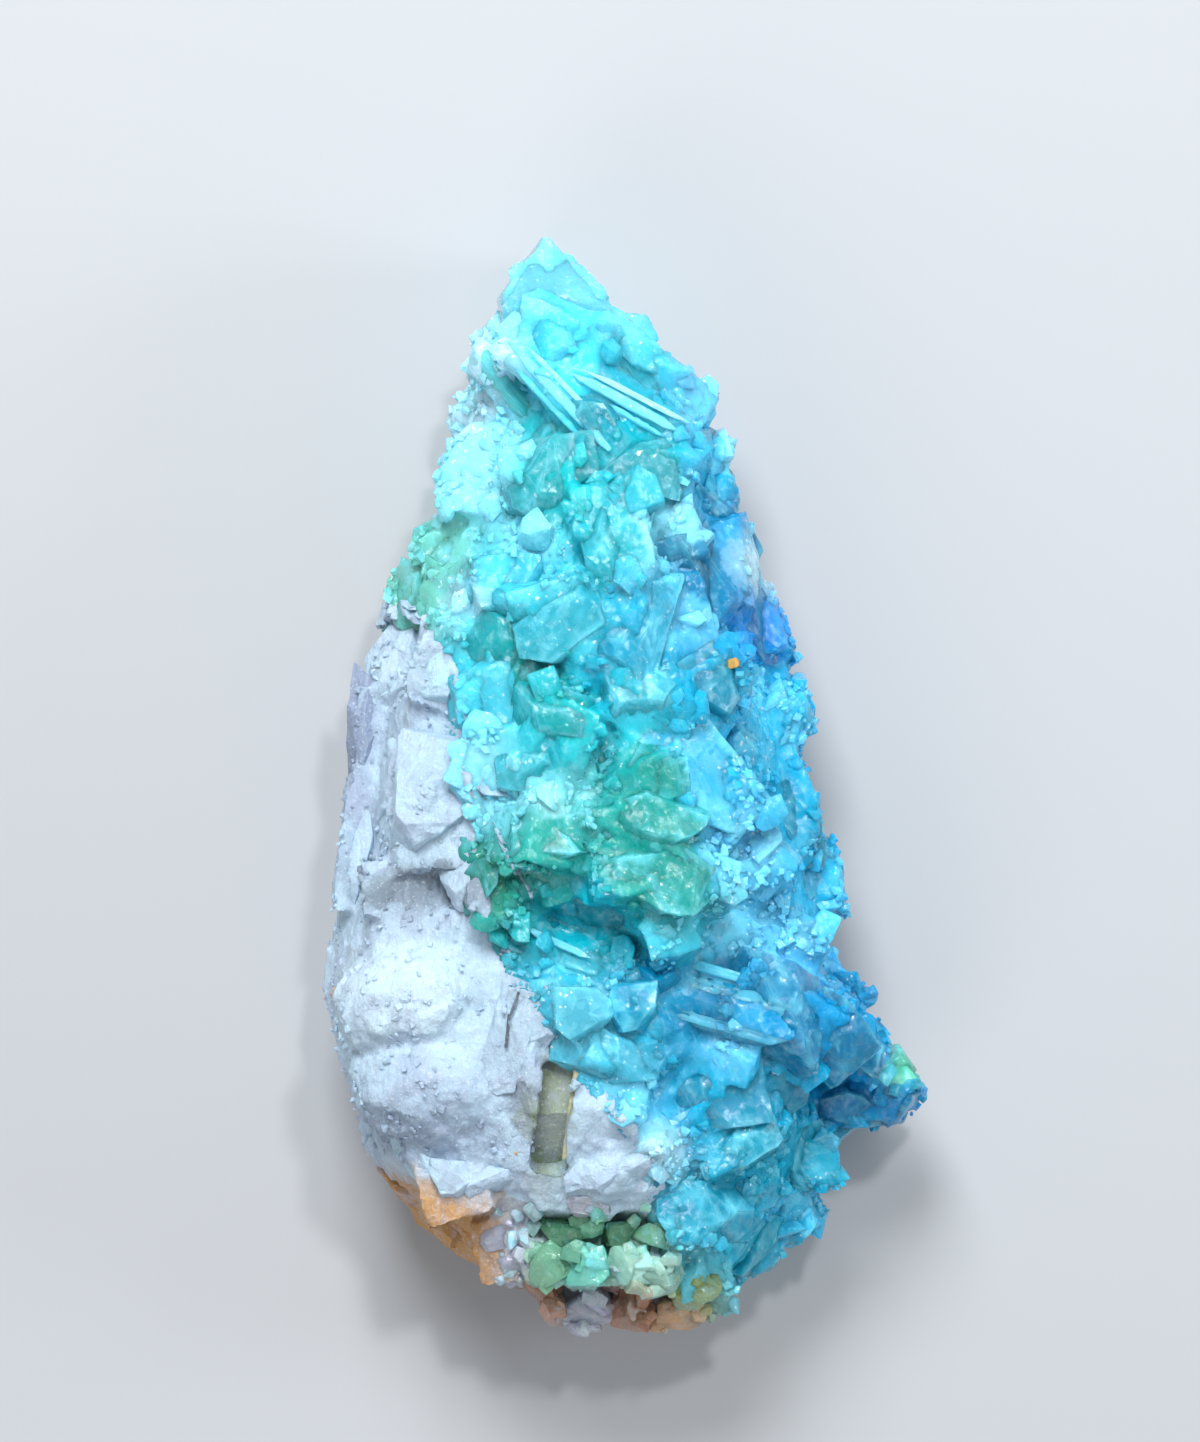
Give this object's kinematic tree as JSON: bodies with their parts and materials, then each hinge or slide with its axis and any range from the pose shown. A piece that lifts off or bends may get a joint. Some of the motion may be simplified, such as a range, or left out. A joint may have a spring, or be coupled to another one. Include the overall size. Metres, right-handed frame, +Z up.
{
  "type": "indicolite tourmaline specimen",
  "caption": "Rough, tooth-shaped mineral specimen of glassy blue-green tourmaline crystals grown together in white feldspar, lying on its flat broken back.",
  "frame": {"origin": "middle of the bottom of the specimen's box, on the flat broken back that it lies on", "axes": "+Y towards the pointed end, +X towards the blue side, +Z up out of the best face"},
  "size_m": [0.0334, 0.0604, 0.0203],
  "materials": {
    "tourmaline": "glassy translucent crystal grains with broken, sparkling faces, from pale aqua through teal green to azure and deep blue",
    "feldspar": "dull sugary white feldspar, faintly lilac in its hollows and rusty tan at its foot"
  },
  "bodies": {
    "root": {"tourmaline_specimen": "tourmaline"}
  },
  "joints": []
}
